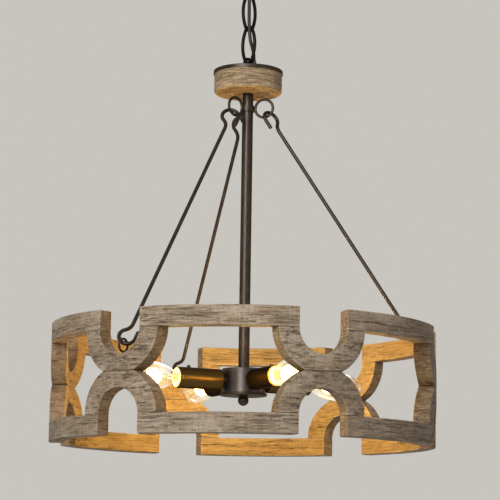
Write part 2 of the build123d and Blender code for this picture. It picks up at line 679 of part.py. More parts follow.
def ceiling_lock_nut():
    """Nut under the crossbar."""
    bottom = -CROSSBAR_THICK - LOCK_NUT_HEIGHT
    return hexagon_nut(LOCK_NUT_FLATS, NIPPLE_R + FIT, bottom, LOCK_NUT_HEIGHT)


def dome(radius, height):
    """Solid of the canopy's outline."""
    rim = Line((radius, 0), (radius, -CANOPY_RIM))
    side = TangentArc((CANOPY_FLAT_R, -height), (radius, -CANOPY_RIM), tangent=(1, 0))
    flat = Polyline((CANOPY_FLAT_R, -height), (0, -height), (0, 0), (radius, 0))
    return revolve(Plane.XZ * make_face([rim, side, flat]), Axis.Z)


def canopy():
    """Domed cover over the ceiling box, with a hole for the neck."""
    shell = dome(CANOPY_R, CANOPY_HEIGHT) - dome(CANOPY_R - CANOPY_WALL, CANOPY_HEIGHT - CANOPY_WALL)
    return shell - cylinder(NECK_R + RUN, -CANOPY_HEIGHT, CANOPY_HEIGHT)


def canopy_loop():
    """Threaded neck with the loop that the chain hangs in."""
    neck = tube(NECK_R, NIPPLE_BORE_R, NECK_BOTTOM_Z, NECK_LENGTH)
    neck -= cylinder(NIPPLE_R + FIT, -NECK_TOP - NECK_ENGAGEMENT, NECK_ENGAGEMENT)
    return neck + staple(CANOPY_LOOP_R, NECK_BOTTOM_Z, CANOPY_BAR_Z, ALONG_LOWER_LINK)


def ring_nut():
    """Ring nut that holds the canopy up."""
    nut = cylinder(RING_NUT_R, -CANOPY_HEIGHT - RING_NUT_HEIGHT, RING_NUT_HEIGHT)
    nut = fillet(nut.edges().sort_by(Axis.Z)[0], RING_NUT_EDGE)
    return nut - cylinder(NECK_R + RUN, -CANOPY_HEIGHT - RING_NUT_HEIGHT, RING_NUT_HEIGHT)


# All nodes by name
nodes = {
    "crossbar": crossbar(),
    "ceiling_nipple": ceiling_nipple(),
    "ceiling_lock_nut": ceiling_lock_nut(),
    "canopy_loop": canopy_loop(),
    "canopy": canopy(),
    "ring_nut": ring_nut(),
    "chain_link_upper": chain_link(ALONG_UPPER_LINK, UPPER_LINK_Z),
    "chain_link_lower": chain_link(ALONG_LOWER_LINK, LOWER_LINK_Z),
    "supply_cord": supply_cord(),
    "hub_loop": hub_loop(),
    "cap_plate": cap_plate(),
    "cap_screws": cap_screws(),
    "cord_bushing": cord_bushing(),
    "hub_block": hub_block(),
    "wire_connectors": wire_connectors(),
    "stem_nipples": stem_nipples(),
    "stem_lock_nuts": stem_lock_nuts(),
    "stem_tube": stem_tube(),
    "stem_cord": stem_cord(),
    "ring_collar": ring_collar(),
    "cluster_body": cluster_body(),
    "base_plate": base_plate(),
    "cluster_strap": cluster_strap(),
    "finial": finial(),
    "socket_tubes": socket_tubes(),
    "sockets": sockets(),
    "socket_screws": socket_screws(),
    "socket_leads": socket_leads(),
}
for number, azimuth in enumerate(socket_azimuths(), 1):
    nodes[f"bulb_{number}"] = bulb(azimuth)
rod_azimuths = [FIRST_X_AZIMUTH + number * ROD_STEP for number in range(ROD_COUNT)]
for name, azimuth, turn in zip(ROD_NAMES, rod_azimuths, ROD_TURNS):
    nodes[name] = hooked_rod(azimuth, turn)
nodes["screw_eyes"] = [screw_eye(azimuth) for azimuth in rod_azimuths]
for number in range(X_COUNT):
    azimuth = FIRST_X_AZIMUTH + number * X_STEP
    upper_bow = bow(azimuth, True)
    if azimuth in rod_azimuths:
        upper_bow -= eye_shank(azimuth, EYE_WIRE_R + FIT)
    nodes[f"upper_bow_{number + 1}"] = upper_bow
    nodes[f"lower_bow_{number + 1}"] = bow(azimuth, False)
    nodes[f"top_rail_{number + 1}"] = rail(azimuth, True)
    nodes[f"bottom_rail_{number + 1}"] = rail(azimuth, False)

os.makedirs("parts", exist_ok=True)
for name, shape in nodes.items():
    solids = shape if isinstance(shape, list) else [shape]
    export_step(Compound(children=[solid for item in solids for solid in item.solids()]), f"parts/{name}.step")
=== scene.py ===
import json
import math
import random

import bmesh
import bpy
from mathutils import Matrix, Vector


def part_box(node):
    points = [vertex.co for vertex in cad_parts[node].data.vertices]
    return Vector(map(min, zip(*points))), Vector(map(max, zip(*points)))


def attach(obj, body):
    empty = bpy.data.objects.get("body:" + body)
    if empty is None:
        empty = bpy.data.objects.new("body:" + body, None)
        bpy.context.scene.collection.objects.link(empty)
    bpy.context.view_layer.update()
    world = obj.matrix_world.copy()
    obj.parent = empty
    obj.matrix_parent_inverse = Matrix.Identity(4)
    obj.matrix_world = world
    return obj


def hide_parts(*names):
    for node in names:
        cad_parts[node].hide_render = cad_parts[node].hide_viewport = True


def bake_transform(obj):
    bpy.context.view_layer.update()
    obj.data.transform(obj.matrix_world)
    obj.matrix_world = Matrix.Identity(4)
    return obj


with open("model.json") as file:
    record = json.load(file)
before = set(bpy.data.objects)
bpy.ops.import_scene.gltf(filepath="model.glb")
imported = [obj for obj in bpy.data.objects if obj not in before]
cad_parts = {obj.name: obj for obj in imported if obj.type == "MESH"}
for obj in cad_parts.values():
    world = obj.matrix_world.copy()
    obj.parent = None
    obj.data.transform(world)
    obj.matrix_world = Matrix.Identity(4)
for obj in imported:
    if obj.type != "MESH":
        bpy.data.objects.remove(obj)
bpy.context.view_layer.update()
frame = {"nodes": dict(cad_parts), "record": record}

# Places and sizes that the pieces share with the CAD model, in metres. Azimuths are in degrees, from the
# front (-Y) towards +X. An X is an upper and a lower bow. A socket's lengths start at the stem's axis.
DRUM_R = -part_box("top_rail_1")[0].y
DRUM_WALL = 0.0189
WAIST_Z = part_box("upper_bow_1")[0].z
UPPER_SEAM_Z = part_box("upper_bow_1")[1].z
LOWER_SEAM_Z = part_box("lower_bow_1")[0].z
X_COUNT = 6
X_STEP = 360.0 / X_COUNT
FIRST_X_AZIMUTH = -30.0
HUB_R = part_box("hub_block")[1].x
HUB_BOTTOM_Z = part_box("hub_block")[0].z
CAP_TOP_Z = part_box("cap_plate")[1].z
CAP_SCREW_CIRCLE_R = 0.0345
CAP_SCREW_AZIMUTHS = (20.0, 140.0, 260.0)
SOCKET_Z = sum(corner.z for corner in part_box("bulb_1")) / 2
SOCKET_AZIMUTHS = (34.0, 124.0, 214.0, 304.0)
TUBE_R = 0.0125
TUBE_END = 0.087
SOCKET_PROUD = 0.001
SOCKET_FRONT = TUBE_END + SOCKET_PROUD
FILAMENT_AHEAD = 0.028
FILAMENT_REACH = SOCKET_FRONT + FILAMENT_AHEAD

# Wood: its base, dark and light tones, as linear red, green and blue, and the filters of the inside and of
# the cut faces
DRUM_TONES = ((0.315, 0.229, 0.149), (0.088, 0.059, 0.036), (0.515, 0.422, 0.318))
# The drum's first filter is painted warm light from the bulbs on its inside faces
DRUM_FILTERS = ((1.0, 0.85, 0.4), (0.8, 0.74, 0.66))
HUB_TONES = ((0.42, 0.29, 0.16), (0.1, 0.056, 0.024), (0.68, 0.55, 0.38))
# The hub's second filter lightens and warms its top and underside: partly the wood's own tone there, partly
# painted warm light from the bulbs
HUB_FILTERS = ((1.0, 1.0, 1.0), (1.35, 1.22, 0.86))
RINGS_PER_METRE = 290.0
RING_DRIFT = 0.02
WALL_STRETCH = 0.16
WOOD_EDGE = 0.0026
WOOD_RELIEF = 0.0006
STAIN_SHARES = (0.72, 0.62, 0.5)
INSIDE_SHADE = 0.86
SEAM_TONE = (0.035, 0.024, 0.016)
CHECK_TONE = (0.03, 0.022, 0.016)
# An inner radius that no point of the hub has
NO_INSIDE = -0.1
HUB_PITH = (0.09, HUB_BOTTOM_Z - 0.02)
HUB_SEED = 4.0

# Boards: the ranges that their pith's distance, their tones and their places along the grain are drawn from,
# and the height of a bow's and a rail's middle above or below the waist
GRAIN_DRAW = 41
PITH_DISTANCES = (0.045, 0.11)
BOARD_TINTS = (0.9, 1.1)
BOARD_SEEDS = (0.0, 30.0)
BOW_MIDDLE = 0.023
RAIL_MIDDLE = 0.058
BOW_SHORTNESS = 3.0

# Metal and glass
METAL_EDGE = 0.0005
METAL_RELIEF = 0.00002
SCRATCH_STRETCH = (40.0, 900.0, 900.0)
GLOW_END = 0.034
GLOW_FULL = 0.01
GLOW_STRENGTH = 0.16

# Candle bulbs. Outlines are (along the axis, radius), from the socket's front or the base's back.
BULB_R = 0.0175
BULB_LENGTH = 0.074
BULB_WALL = 0.0008
WIDEST_RATIO = 0.53
FLANK_NECK_RATIOS = (0.33, 0.78)
FLANK_BELLY_RATIO = 0.62
CROWN_BELLY_RATIO = 0.6
CROWN_TIP_RATIO = 0.24
CURVE_STEPS = 22
BASE_R = 0.00585
BASE_LENGTH = 0.018
BASE_BACK = SOCKET_FRONT - BASE_LENGTH
BASE_SIDES = 40
BASE_RINGS = 72
THREAD_PITCH = 0.0026
THREAD_DEPTH = 0.0007
THREAD_START = 1 / 8
THREAD_END = 1 / 5
CONTACT_OUTLINE = ((0.0, 0.0), (0.0, 0.0026), (-0.0016, 0.0025), (-0.0023, 0.0018), (-0.0026, 0.0))
FILAMENT_HOOP_R = 0.0052
FILAMENT_HOOP_HALF = 140.0
FILAMENT_COIL_R = 0.00055
FILAMENT_TURNS = 46
FILAMENT_TURN_STEPS = 8
FILAMENT_WIRE_R = 0.0002
LEAD_R = 0.0003
LEAD_ROUTE = ((-0.001, 0.0016, 0.0), (0.012, 0.002, 0.0), (0.02, 0.0028, -0.002))
SUPPORT_R = 0.00018
SUPPORT_ROUTE = ((0.015, 0.0, 0.0005), (0.023, 0.0, 0.002), (FILAMENT_AHEAD, 0.0, 0.0051))
POST_OUTLINE = (
    (-0.001, 0.0),
    (-0.001, 0.0046),
    (0.003, 0.0036),
    (0.008, 0.0024),
    (0.014, 0.0022),
    (0.016, 0.0014),
    (0.0167, 0.0),
)
WARM_WATTS = 0.5
WARM_TONE = (1.0, 0.62, 0.15)
WARM_R = 0.011

# Screws and the canopy's ring nut. The outlines of a screw's head are shares of its height and its radius.
HEAD_FOOT = ((0.0, 0.0), (0.0, 0.97), (0.1, 1.0), (0.5, 1.0), (0.5, 0.0))
HEAD_DOME = ((0.5, 1.0), (0.72, 0.98), (0.9, 0.9), (1.0, 0.74))
DOME_STEPS = 16
SOCKET_SCREW_SETBACK = 0.015
SOCKET_SCREW_SINK = 0.0003
# A head's radius, its height and half its slot's width
SOCKET_SCREW_HEAD = (0.002, 0.0021, 0.0004)
CAP_SCREW_HEAD = (0.003, 0.0018, 0.0005)
RING_NUT_BORE_R = 0.0131
MILLING_TEETH = 60
MILLING_DEPTH = 0.00045
TOOTH = (0.0, 0.35, 1.0, 0.35)

# Supply cord. The points of its route are (along the lower link's width, along the upper link's width,
# height), and it is cut into pieces at two heights.
CORD_R = 0.0021
CORD_SIDES = 16
CORD_RESOLUTION = 24
CHAIN_TURN = 7.3
LINK_TURN = 45.0
CORD_ROUTE = (
    (0.0, 0.0, -0.0005),
    (0.0, 0.0, -0.035),
    (0.00455, 0.00455, -0.0465),
    (0.00455, 0.00455, -0.1044),
    (0.00455, -0.00455, -0.1244),
    (0.00455, -0.00455, -0.1335),
    (0.00707, -0.00707, -0.1445),
    (0.00707, -0.00707, -0.152),
)
CORD_CUTS = (-0.078, -0.1125)
# The bodies above and below each joint, and the heights where the bend starts and ends
CORD_BENDS = (
    ("ceiling_mount", "link_upper", -0.046, -0.066),
    ("link_upper", "link_lower", -0.0865, -0.1065),
    ("link_lower", "fixture", -0.127, -0.1468),
)

# Camera at the photograph's angle, in metres and degrees, with its lens in millimetres
CAMERA_PLACE = (0.3083, -2.3406, -0.746)
CAMERA_PITCH = 9.094
CAMERA_TURN = 7.31
CAMERA_ROLL = 0.85
CAMERA_SENSOR = 36.0
CAMERA_LENS = 143.2
CAMERA_SHIFT = -0.0044

# Studio: soft lamps, a plain pale floor and a pale surround
LAMP_TARGET = Vector((0.0, 0.0, -0.4))
# Name, place, size, watts and tone
LAMPS = (
    ("key_light", (-0.65, -2.85, 0.4), 1.3, 82.0, (1.0, 0.98, 0.95)),
    ("fill_light", (2.2, -1.4, 0.2), 0.7, 2.5, (0.96, 0.98, 1.0)),
    ("back_light", (0.2, 2.3, 1.5), 1.6, 32.0, (1.0, 0.98, 0.96)),
)
AMBIENT_TONE = (0.98, 0.99, 1.0)
AMBIENT_STRENGTH = 0.2
SURROUND_TONE = (0.578, 0.556, 0.521)
FLOOR_Z = -2.4
FLOOR_HALF = 30.0
FLOOR_TONES = ((0.63, 0.61, 0.575), (0.65, 0.63, 0.595))
# Lifts the floor to the surround's tone, so that no horizon shows
FLOOR_LIFT = (0.422, 0.403, 0.374)


def outward(azimuth):
    """Unit vector away from the stem at an azimuth."""
    angle = math.radians(azimuth)
    return Vector((math.sin(angle), -math.cos(angle), 0.0))


def shaded(tone, factor):
    """A tone made darker, or paler by a factor over 1."""
    return tuple(value * factor for value in tone)


# Materials
class Nodes:
    """The shader nodes of a material or of the world."""

    def __init__(self, owner):
        owner.use_nodes = True
        self.nodes = owner.node_tree.nodes
        self.links = owner.node_tree.links
        self.nodes.clear()

    def feed(self, socket, value):
        """Links a socket to another, or sets its value."""
        if isinstance(value, bpy.types.NodeSocket):
            self.links.new(value, socket)
        elif socket.type == "RGBA":
            socket.default_value = (*value, 1.0)
        else:
            socket.default_value = value

    def add(self, kind, inputs, out=0, **settings):
        """Adds a node and returns one of its outputs, if it has any."""
        node = self.nodes.new(kind)
        for key, value in settings.items():
            setattr(node, key, value)
        for key, value in inputs.items():
            self.feed(node.inputs[key], value)
        return node.outputs[out] if len(node.outputs) else None

    def math(self, operation, first, second=0.0):
        return self.add("ShaderNodeMath", {0: first, 1: second}, operation=operation)

    def plus(self, first, second):
        return self.math("ADD", first, second)

    def minus(self, first, second):
        return self.math("SUBTRACT", first, second)

    def times(self, first, second):
        return self.math("MULTIPLY", first, second)

    def hypot(self, first, second):
        return self.math("SQRT", self.plus(self.times(first, first), self.times(second, second)))

    def vector(self, x, y, z):
        return self.add("ShaderNodeCombineXYZ", {0: x, 1: y, 2: z})

    def vector_math(self, operation, first, second, out="Vector"):
        return self.add("ShaderNodeVectorMath", {0: first, 1: second}, out=out, operation=operation)

    def noise(self, vector, scale=1.0, detail=4.0, roughness=0.55):
        inputs = {"Vector": vector, "Scale": scale, "Detail": detail, "Roughness": roughness}
        return self.add("ShaderNodeTexNoise", inputs)

    def span(self, value, low, high, first=0.0, last=1.0):
        """Smooth step from low to high, scaled to first and last."""
        inputs = {0: value, 1: low, 2: high, 3: first, 4: last}
        return self.add("ShaderNodeMapRange", inputs, interpolation_type="SMOOTHSTEP")

    def mix(self, factor, first, second, blend="MIX"):
        inputs = {0: factor, 6: first, 7: second}
        return self.add("ShaderNodeMix", inputs, out=2, data_type="RGBA", blend_type=blend)


class Surface(Nodes):
    """The nodes of one material, with a Principled shader at their end."""

    def __init__(self, name):
        self.material = bpy.data.materials.new(name)
        super().__init__(self.material)
        self.shader = self.nodes.new("ShaderNodeBsdfPrincipled")
        self.add("ShaderNodeOutputMaterial", {"Surface": self.shader.outputs[0]})

    def set(self, **values):
        """Feeds the shader's sockets, with _ for a space in their names."""
        for key, value in values.items():
            self.feed(self.shader.inputs[key.replace("_", " ")], value)

    def bump(self, height, distance, strength):
        inputs = {"Height": height, "Distance": distance, "Strength": strength}
        self.set(Normal=self.add("ShaderNodeBump", inputs))

    def place(self):
        """Point of the surface in the row frame at rest."""
        return self.add("ShaderNodeTexCoord", {}, out="Object")

    def edges(self, radius):
        """Near 1 along the edges of a piece and 0 on its faces."""
        rounded = self.add("ShaderNodeBevel", {"Radius": radius}, samples=6)
        facing = self.add("ShaderNodeNewGeometry", {}, out="Normal")
        return self.span(self.vector_math("DOT_PRODUCT", rounded, facing, "Value"), 0.985, 0.86)

    def cut_faces(self):
        """Near 1 on the faces that don't look along a radius of the stem, and 0 on those that do."""
        facing = self.add("ShaderNodeTexCoord", {}, out="Normal")
        level = self.vector_math("MULTIPLY", self.place(), (1.0, 1.0, 0.0))
        radial = self.add("ShaderNodeVectorMath", {0: level}, operation="NORMALIZE")
        likeness = self.math("ABSOLUTE", self.vector_math("DOT_PRODUCT", facing, radial, "Value"))
        return self.span(likeness, 0.75, 0.35)


def round_stem(tree, turn, middle_r):
    """Length along a board from its middle, radius from the stem's axis, and height."""
    turned = tree.add(
        "ShaderNodeVectorRotate",
        {"Vector": tree.place(), "Angle": -math.radians(turn)},
        rotation_type="Z_AXIS",
    )
    split = tree.nodes.new("ShaderNodeSeparateXYZ")
    tree.feed(split.inputs[0], turned)
    x, y, z = split.outputs
    angle = tree.math("ARCTAN2", x, tree.times(y, -1.0))
    return tree.times(angle, middle_r), tree.hypot(x, y), z


def growth_rings(tree, arc, radius, z, pith):
    """Near 1 in the late wood of the rings round the pith, which drift a little along the board."""
    drift = tree.noise(tree.vector(tree.times(arc, 5.0), radius, z), scale=2.2, detail=2.0)
    drift = tree.times(tree.minus(drift, 0.5), RING_DRIFT)
    rise = tree.plus(tree.minus(z, pith[1]), drift)
    reach = tree.hypot(rise, tree.minus(radius, pith[0]))
    ring = tree.math("FRACT", tree.times(reach, RINGS_PER_METRE))
    return tree.times(tree.span(ring, 0.25, 0.95), tree.span(ring, 1.0, 0.95))


def wood(name, turn, pith, seed, tones, filters, middle_r, inner_r, seams, shortness):
    """Weathered wood with its grain round the stem, shorter by a factor on cut pieces. The pith is the growth
    rings' centre, as (radius, height). The first filter tints the inside with painted warm light from the
    bulbs, and the second tints the cut faces."""
    base, dark, light = tones
    painted_bulb_glow, cut = filters
    brown = tuple(value * share for value, share in zip(base, STAIN_SHARES))
    inside_tone = shaded(base, INSIDE_SHADE)
    tree = Surface(name)
    arc, radius, z = round_stem(tree, turn, middle_r)
    arc = tree.plus(arc, seed)
    across = tree.times(radius, WALL_STRETCH)

    def grain(stretch, depth, scale, detail, roughness):
        """Noise drawn out along the board."""
        return tree.noise(tree.vector(tree.times(arc, stretch), depth, z), scale, detail, roughness)

    # Fine marks: late wood, saw marks, fibres, dark pores, short flecks and long checks
    late_wood = growth_rings(tree, arc, radius, z, pith)
    saw = tree.noise(tree.vector(arc, across, tree.times(z, 0.06)), scale=640.0, detail=3.0, roughness=0.65)
    fibre = grain(0.05 * shortness, across, scale=900.0, detail=4.0, roughness=0.7)
    streak = grain(0.055 * shortness, across, scale=400.0, detail=5.0, roughness=0.7)
    pores = tree.span(streak, 0.52, 0.66)
    fleck = grain(0.35, across, scale=640.0, detail=3.0, roughness=0.6)
    check = grain(0.07 * shortness, across, scale=105.0, detail=3.0, roughness=0.55)
    check = tree.math("ABSOLUTE", tree.minus(check, 0.5))
    check = tree.times(tree.span(check, 0.011, 0.002), tree.span(streak, 0.44, 0.56))

    # Wide marks: a patchy wash, shade and brown stains, and a plainer, darker tone on the inside faces
    patch = grain(0.45, radius, scale=42.0, detail=5.0, roughness=0.65)
    shade = grain(0.14, radius, scale=120.0, detail=5.0, roughness=0.7)
    stain = grain(0.4, radius, scale=27.0, detail=4.0, roughness=0.6)
    inside = tree.span(radius, inner_r + 0.004, inner_r + 0.0006, 0.0, 0.9)

    # Tones laid one over the other
    colour = base
    for strength, tone in (
        (tree.span(shade, 0.42, 0.62, 0.0, 0.66), dark),
        (tree.times(late_wood, 0.3), dark),
        (tree.span(patch, 0.46, 0.66, 0.0, 0.58), light),
        (tree.span(stain, 0.47, 0.65, 0.0, 0.55), brown),
        (tree.span(fibre, 0.43, 0.63, 0.0, 0.62), light),
        (tree.span(fleck, 0.52, 0.66, 0.0, 0.46), dark),
        (tree.span(saw, 0.5, 0.66, 0.0, 0.3), dark),
        (tree.times(pores, 0.74), dark),
        (tree.times(inside, 0.45), inside_tone),
    ):
        colour = tree.mix(strength, colour, tone)
    # Painted warm light from the bulbs: the inside faces tinted warm yellow
    colour = tree.mix(inside, colour, painted_bulb_glow, "MULTIPLY")
    # Cut faces tinted; on the hub this is partly painted warm bulb light on its top and underside
    colour = tree.mix(tree.cut_faces(), colour, cut, "MULTIPLY")
    worn = tree.times(tree.edges(WOOD_EDGE), tree.span(patch, 0.38, 0.58, 0.25, 0.85))
    colour = tree.mix(worn, colour, light)
    for seam in seams:
        gap = tree.math("ABSOLUTE", tree.minus(z, seam))
        colour = tree.mix(tree.span(gap, 0.0011, 0.0002, 0.0, 0.72), colour, SEAM_TONE)
    colour = tree.mix(tree.times(check, 0.85), colour, CHECK_TONE)

    height = tree.minus(tree.times(fibre, 0.5), tree.times(pores, 0.7))
    height = tree.minus(height, tree.times(late_wood, 0.3))
    height = tree.minus(height, tree.times(saw, 0.4))
    tree.bump(tree.minus(height, check), WOOD_RELIEF, 0.75)
    tree.set(
        Base_Color=colour,
        Roughness=tree.span(streak, 0.3, 0.75, 0.62, 0.86),
        Specular_IOR_Level=0.32,
    )
    return tree.material


def metal(name, tone, rubbed, grazing, roughness, metallic, clouding):
    """Satin dark metal with a fine cast grain, clouded a little, and rubbed along the edges. The grazing tone
    is what its sides reflect."""
    tree = Surface(name)
    place = tree.place()
    grain = tree.noise(place, scale=1400.0, detail=3.0, roughness=0.6)
    blotch = tree.noise(place, scale=120.0, detail=4.0, roughness=0.6)
    worn = tree.times(tree.edges(METAL_EDGE), tree.span(blotch, 0.42, 0.66, 0.1, 0.8))
    speck = tree.span(grain, 0.6, 0.78, 0.0, 0.12)
    colour = tree.mix(tree.span(blotch, 0.35, 0.7, 0.0, clouding), tone, shaded(tone, 1.4))
    smoothest = roughness - 0.08 * clouding
    roughest = roughness + 0.1 * clouding
    tree.bump(tree.plus(grain, tree.times(blotch, 0.3 * clouding)), METAL_RELIEF, 0.25 * clouding)
    tree.set(
        Base_Color=tree.mix(tree.math("MAXIMUM", worn, speck), colour, rubbed),
        Metallic=metallic,
        Specular_Tint=grazing,
        Roughness=tree.span(blotch, 0.3, 0.75, smoothest, roughest),
    )
    return tree.material


def plated(name, tone, roughness):
    """Bright plated metal with faint scratches and clouding."""
    tree = Surface(name)
    place = tree.place()
    cloud = tree.noise(place, scale=160.0, detail=4.0)
    scratch = tree.noise(tree.vector_math("MULTIPLY", place, SCRATCH_STRETCH))
    tree.bump(scratch, 0.00005, 0.5)
    tree.set(
        Base_Color=tree.mix(tree.span(cloud, 0.35, 0.7), tone, shaded(tone, 0.72)),
        Metallic=1.0,
        Roughness=tree.span(cloud, 0.3, 0.7, roughness, roughness + 0.18),
    )
    return tree.material


def moulded(name, tone, roughness, grain_size, coat=0.0):
    """Moulded plastic or rubber with a fine surface and slight colour clouding."""
    tree = Surface(name)
    place = tree.place()
    grain = tree.noise(place, scale=1.0 / grain_size, detail=2.0)
    cloud = tree.noise(place, scale=90.0, detail=3.0)
    tree.bump(grain, grain_size * 0.08, 0.5)
    tree.set(
        Base_Color=tree.mix(tree.span(cloud, 0.3, 0.7), tone, shaded(tone, 0.8)),
        Roughness=tree.span(cloud, 0.3, 0.7, roughness - 0.06, roughness + 0.08),
        Coat_Weight=coat,
    )
    return tree.material


def bulb_glass(name, azimuth):
    """Clear glass, warm round the filament at an azimuth and dimmer away from it."""
    tree = Surface(name)
    filament = outward(azimuth) * FILAMENT_REACH + Vector((0.0, 0.0, SOCKET_Z))
    gap = tree.vector_math("DISTANCE", tree.place(), filament, "Value")
    glow = tree.math("POWER", tree.span(gap, GLOW_END, GLOW_FULL), 2.0)
    tree.set(
        Base_Color=(1.0, 0.985, 0.95),
        Roughness=0.01,
        IOR=1.46,
        Transmission_Weight=1.0,
        Emission_Color=(1.0, 0.9, 0.55),
        Emission_Strength=tree.times(glow, GLOW_STRENGTH),
    )
    return tree.material


def glowing(name, tone, strength):
    """Hot filament wire."""
    tree = Surface(name)
    heat = tree.noise(tree.place(), scale=500.0, detail=2.0)
    tree.set(
        Base_Color=(0.3, 0.25, 0.2),
        Roughness=0.5,
        Emission_Color=tone,
        Emission_Strength=tree.span(heat, 0.2, 0.8, strength * 0.85, strength * 1.15),
    )
    return tree.material


BRONZE = metal(
    "bronze_metal",
    tone=(0.042, 0.034, 0.028),
    rubbed=(0.1, 0.078, 0.06),
    grazing=(0.4, 0.36, 0.32),
    roughness=0.42,
    metallic=0.8,
    clouding=1.0,
)
# A lighter, cooler copy of the bronze for the cluster body: a painted highlight from the key lamp
CLUSTER_BRONZE_PAINTED_HIGHLIGHT = metal(
    "cluster_metal_painted_highlight",
    tone=(0.088, 0.079, 0.076),
    rubbed=(0.15, 0.13, 0.12),
    grazing=(0.4, 0.37, 0.34),
    roughness=0.33,
    metallic=0.85,
    clouding=0.5,
)
# A golden copy of the bronze for the socket tubes: partly the bronze's own warmth, partly painted warm light
# and reflection from the bulbs
TUBE_BRONZE_PAINTED_GLOW = metal(
    "tube_metal_painted_glow",
    tone=(0.08, 0.05, 0.014),
    rubbed=(0.13, 0.085, 0.032),
    grazing=(0.12, 0.075, 0.026),
    roughness=0.32,
    metallic=0.95,
    clouding=0.2,
)
CHAIN_BRONZE = metal(
    "chain_metal",
    tone=(0.009, 0.008, 0.007),
    rubbed=(0.04, 0.033, 0.028),
    grazing=(0.4, 0.37, 0.34),
    roughness=0.42,
    metallic=0.75,
    clouding=1.0,
)
ZINC = plated("zinc_steel", (0.62, 0.61, 0.58), 0.32)
BRASS = plated("brass_shell", (0.72, 0.52, 0.24), 0.28)
LEAD = plated("lead_wire", (0.5, 0.47, 0.42), 0.3)
CORD = moulded("cord_jacket", (0.009, 0.0085, 0.0085), 0.58, grain_size=0.0007)
BLACK = moulded("black_plastic", (0.025, 0.024, 0.023), 0.45, grain_size=0.0005)
CREAM = moulded("socket_cream", (0.7, 0.6, 0.4), 0.38, grain_size=0.0006, coat=0.15)
FILAMENT = glowing("filament", (1.0, 0.72, 0.36), 40.0)
# The posts stay clear: this glass is warm only at the front, between two bulbs.
POST_GLASS = bulb_glass("post_glass", 0.0)

SLOT_MATERIALS = {
    "bronze_metal": BRONZE,
    "zinc_steel": ZINC,
    "cord_jacket": CORD,
    "black_plastic": BLACK,
    "socket_cream": CREAM,
}


def paint(node, material):
    """Gives a CAD node one material."""
    slots = frame["nodes"][node].data.materials
    slots.clear()
    slots.append(material)


for part in frame["record"]["subparts"]:
    if part["material_slot"] in SLOT_MATERIALS:
        paint(part["node"], SLOT_MATERIALS[part["material_slot"]])
for link in ("chain_link_upper", "chain_link_lower", "hub_loop", "canopy_loop"):
    paint(link, CHAIN_BRONZE)
# The socket tubes get the copy of the bronze with painted warm bulb light
paint("socket_tubes", TUBE_BRONZE_PAINTED_GLOW)
# The cluster body gets the copy of the bronze with the painted highlight
paint("cluster_body", CLUSTER_BRONZE_PAINTED_HIGHLIGHT)

# Boards of the drum, each sawn from its own place in a log, and the hub block
draw = random.Random(GRAIN_DRAW)
for number in range(1, X_COUNT + 1):
    azimuth = FIRST_X_AZIMUTH + (number - 1) * X_STEP
    next_gap = azimuth + X_STEP / 2
    boards = (
        (f"upper_bow_{number}", azimuth, WAIST_Z + BOW_MIDDLE, (WAIST_Z, UPPER_SEAM_Z), BOW_SHORTNESS),
        (f"lower_bow_{number}", azimuth, WAIST_Z - BOW_MIDDLE, (WAIST_Z, LOWER_SEAM_Z), BOW_SHORTNESS),
        (f"top_rail_{number}", next_gap, WAIST_Z + RAIL_MIDDLE, (), 1.0),
        (f"bottom_rail_{number}", next_gap, WAIST_Z - RAIL_MIDDLE, (), 1.0),
    )
    for node, turn, height, seams, shortness in boards:
        side = math.radians(draw.uniform(0.0, 360.0))
        far = draw.uniform(*PITH_DISTANCES)
        tint = draw.uniform(*BOARD_TINTS)
        board = wood(
            f"wood_{node}",
            turn,
            pith=(DRUM_R - DRUM_WALL / 2 + far * math.cos(side), height + far * math.sin(side)),
            seed=draw.uniform(*BOARD_SEEDS),
            tones=[shaded(tone, tint) for tone in DRUM_TONES],
            filters=DRUM_FILTERS,
            middle_r=DRUM_R,
            inner_r=DRUM_R - DRUM_WALL,
            seams=seams,
            shortness=shortness,
        )
        paint(node, board)

hub_wood = wood(
    "wood_hub",
    turn=0.0,
    pith=HUB_PITH,
    seed=HUB_SEED,
    tones=HUB_TONES,
    filters=HUB_FILTERS,
    middle_r=HUB_R,
    inner_r=NO_INSIDE,
    seams=(),
    shortness=1.0,
)
paint("hub_block", hub_wood)


# Shapes
def mesh_object(name, material, build, *sizes, smooth=True):
    """New object from a function that fills a bmesh, with the sizes that it takes."""
    shape = bmesh.new()
    build(shape, *sizes)
    bmesh.ops.recalc_face_normals(shape, faces=shape.faces)
    data = bpy.data.meshes.new(name)
    shape.to_mesh(data)
    shape.free()
    data.materials.append(material)
    for face in data.polygons:
        face.use_smooth = smooth
    thing = bpy.data.objects.new(name, data)
    bpy.context.scene.collection.objects.link(thing)
    return thing


def angles(count):
    """Equal steps of one turn."""
    return [2.0 * math.pi * step / count for step in range(count)]


def about_x(along, radius, angle):
    """Point at a radius and an angle about the x axis."""
    return Vector((along, radius * math.cos(angle), radius * math.sin(angle)))


def skin(shape, rows):
    """Faces between each ring of points and the next. A ring of one point is a pole."""
    for first, second in zip(rows, rows[1:]):
        count = max(len(first), len(second))
        for step in range(count):
            after = step + 1
            corners = (
                first[step % len(first)],
                first[after % len(first)],
                second[after % len(second)],
                second[step % len(second)],
            )
            shape.faces.new(list(dict.fromkeys(corners)))


def closed_skin(shape, rows):
    """Faces between rings of points, and one on each end."""
    skin(shape, rows)
    shape.faces.new(list(reversed(rows[0])))
    shape.faces.new(rows[-1])


def lathe(shape, place, outline, segments):
    """Surface of revolution of (along, radius) points about the x axis of a place."""
    rows = []
    for along, radius in outline:
        turns = angles(segments) if radius > 0.0 else (0.0,)
        rows.append([shape.verts.new(place @ about_x(along, radius, angle)) for angle in turns])
    skin(shape, rows)


